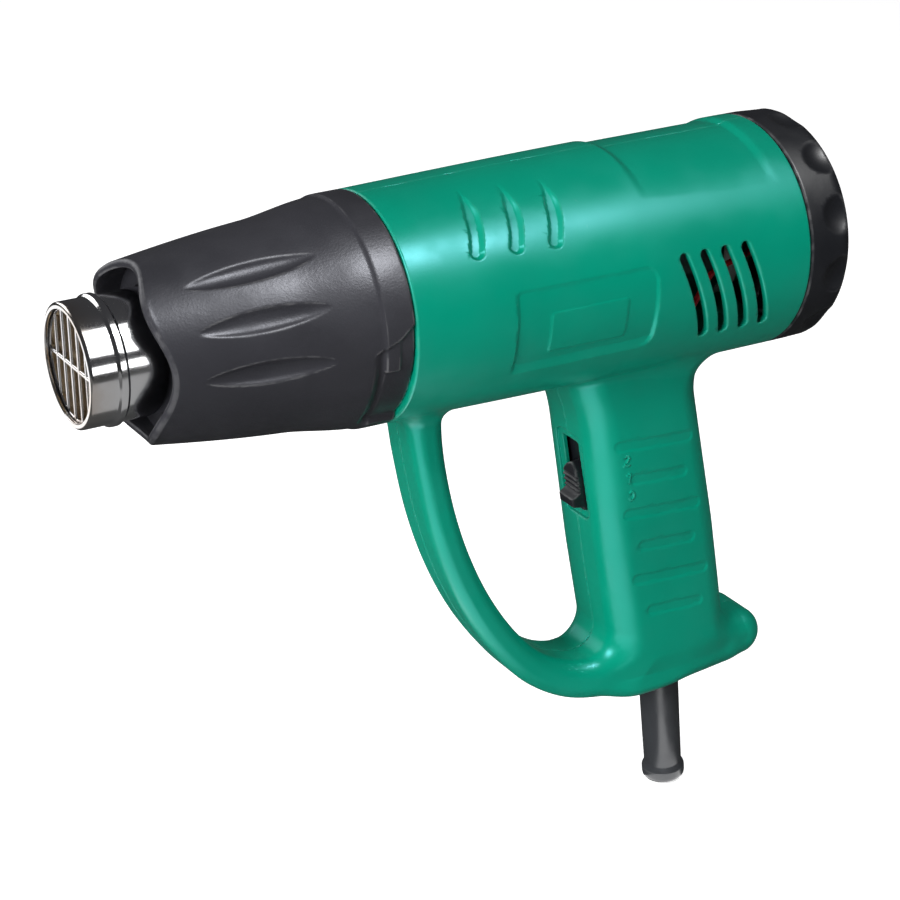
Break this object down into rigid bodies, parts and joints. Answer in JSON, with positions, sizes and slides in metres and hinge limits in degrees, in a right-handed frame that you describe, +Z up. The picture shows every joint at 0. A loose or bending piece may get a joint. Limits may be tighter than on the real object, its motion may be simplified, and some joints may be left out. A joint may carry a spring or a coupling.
{
  "type": "hot air tool",
  "caption": "Hand-held hot air tool: round two-part housing with a closed hand guard, slotted rear cap, tapered heat shield, steel nozzle tube and a slide switch on the grip.",
  "frame": {"origin": "centre of the flat rear face of the rear cap, on the barrel's axis", "axes": "+X out of the rear face along the barrel, so the nozzle points to -X; +Z up, away from the grip; -Y is the left side, which the picture shows"},
  "size_m": [0.2414, 0.0726, 0.2282],
  "materials": {
    "green_plastic": "satin moulded",
    "grey_plastic": "fine spark texture",
    "black_plastic": "satin moulded",
    "polished_steel": "polished",
    "plain_steel": "zinc plated",
    "dark_steel": "heat darkened",
    "brass": "sintered",
    "copper": "turned",
    "ferrite": "sintered",
    "carbon": "pressed",
    "mica": "laminated",
    "ceramic": "fired",
    "heater_wire": "oxidised",
    "white_nylon": "moulded",
    "board": "laminated",
    "black_rubber": "moulded",
    "red_pvc": "extruded",
    "blue_pvc": "extruded"
  },
  "bodies": {
    "housing": {"housing_left": "green_plastic", "housing_right": "green_plastic", "housing_screw_1": "plain_steel", "housing_screw_2": "plain_steel", "housing_screw_3": "plain_steel", "housing_screw_4": "plain_steel", "housing_screw_5": "plain_steel", "housing_screw_6": "plain_steel", "clamp_screw_1": "plain_steel", "clamp_screw_2": "plain_steel", "rear_cap": "black_plastic", "heat_shield": "grey_plastic", "nozzle_tube": "polished_steel", "nozzle_grille": "dark_steel", "heater_base": "ceramic", "heater_former": "mica", "heating_coil": "heater_wire", "mica_sleeve": "mica", "thermal_cutout": "plain_steel", "motor_can": "plain_steel", "magnet_upper": "ferrite", "magnet_lower": "ferrite", "front_bush": "brass", "rear_bush": "brass", "motor_end_cap": "white_nylon", "brush_upper": "carbon", "brush_lower": "carbon", "rectifier_board": "board", "fan_ring": "black_plastic", "motor_screw_1": "plain_steel", "motor_screw_2": "plain_steel", "switch_body": "black_plastic", "cord_sleeve": "black_rubber", "cord_clamp": "white_nylon", "red_lead": "red_pvc", "blue_lead": "blue_pvc"},
    "rotor": {"motor_shaft": "polished_steel", "armature_core": "dark_steel", "commutator": "copper", "fan": "black_plastic"},
    "slider": {"switch_slider": "black_plastic"}
  },
  "joints": [
    {"name": "fan_spin", "type": "hinge", "parent": "housing", "child": "rotor", "pos_m": [-0.0952, 0, 0], "axis": [1, 0, 0], "continuous": true},
    {"name": "switch_slide", "type": "slide", "parent": "housing", "child": "slider", "axis": [-0.1685, 0, 0.9857], "range_m": [0, 0.008]}
  ]
}
